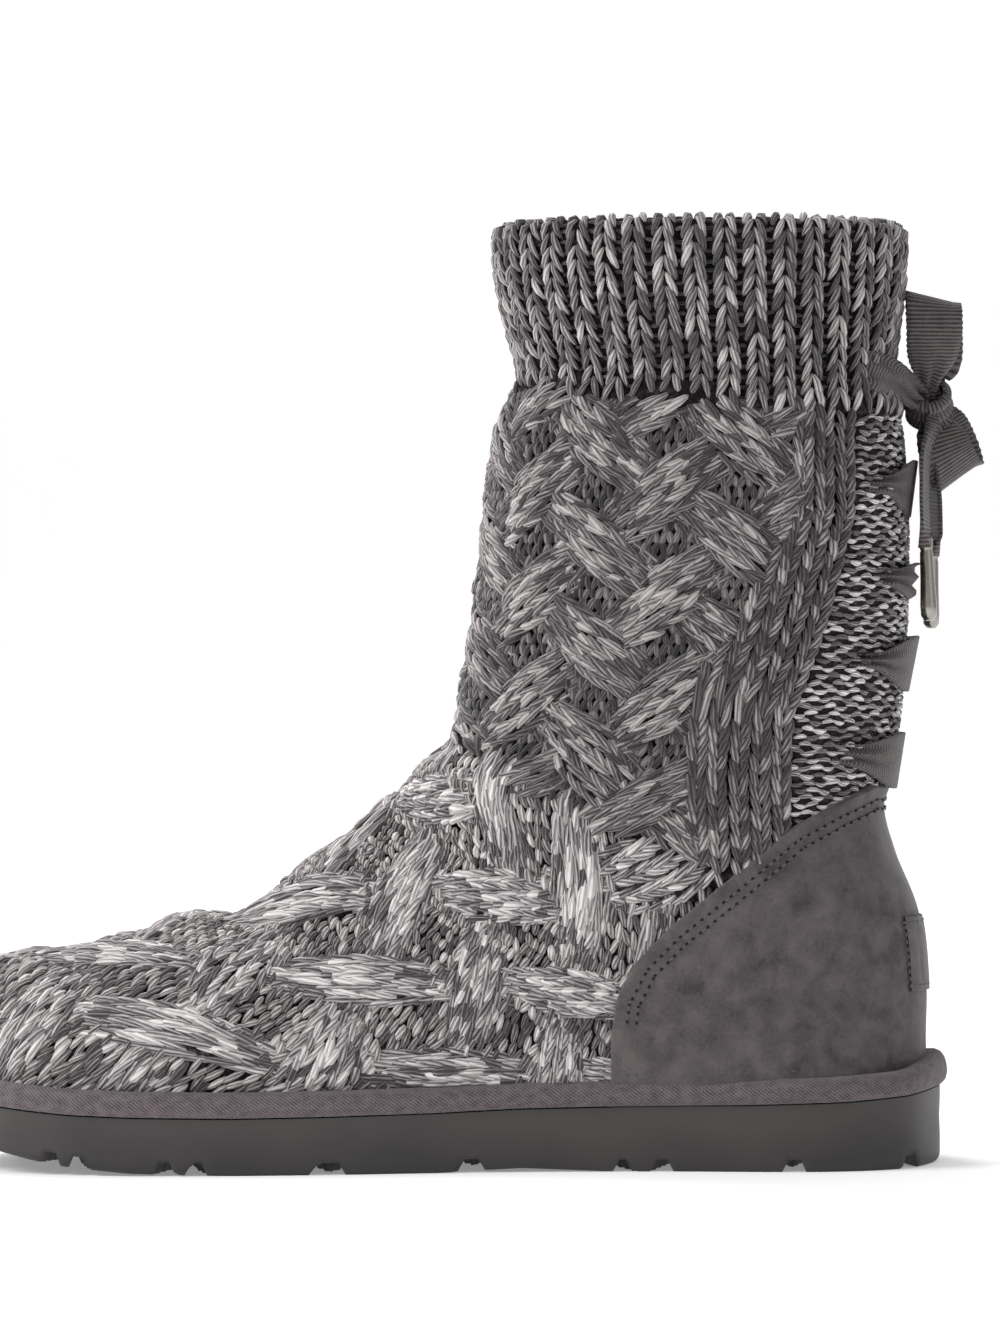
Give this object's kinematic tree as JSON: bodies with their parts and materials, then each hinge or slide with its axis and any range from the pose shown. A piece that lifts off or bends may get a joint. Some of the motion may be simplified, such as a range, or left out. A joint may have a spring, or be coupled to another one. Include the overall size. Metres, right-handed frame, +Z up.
{
  "type": "sweater boot",
  "caption": "Right knitted boot with plaited foot and leg, ribbed cuff, suede heel counter, taped rubber outsole and a ribbon laced and tied at the back.",
  "frame": {"origin": "on the floor under the middle of the boot's box", "axes": "+X from the toe to the heel, +Y from the inner side to the outer, +Z up the leg"},
  "size_m": [0.2887, 0.1044, 0.256],
  "materials": {
    "sole_rubber": "satin",
    "tape": "matte twill",
    "fleece": "matte pile",
    "yarn": "matte marled knit",
    "fine_knit": "matte fine knit",
    "suede": "matte nap",
    "ribbon": "satin grosgrain",
    "metal": "satin"
  },
  "bodies": {
    "root": {"outsole": "sole_rubber", "edge_tape": "tape", "insole": "fleece", "knit_foot": "yarn", "knit_leg": "yarn", "back_panel": "fine_knit", "rib_cuff": "yarn", "heel_counter": "suede", "heel_patch": "suede", "ribbon_bar_1": "ribbon", "ribbon_bar_2": "ribbon", "ribbon_bar_3": "ribbon", "ribbon_bar_4": "ribbon", "ribbon_bar_5": "ribbon", "bow_knot": "ribbon", "bow_loop_inner": "ribbon", "bow_loop_outer": "ribbon", "bow_tail_inner": "ribbon", "bow_tail_outer": "ribbon", "aglet_inner": "metal", "aglet_outer": "metal"}
  },
  "joints": []
}
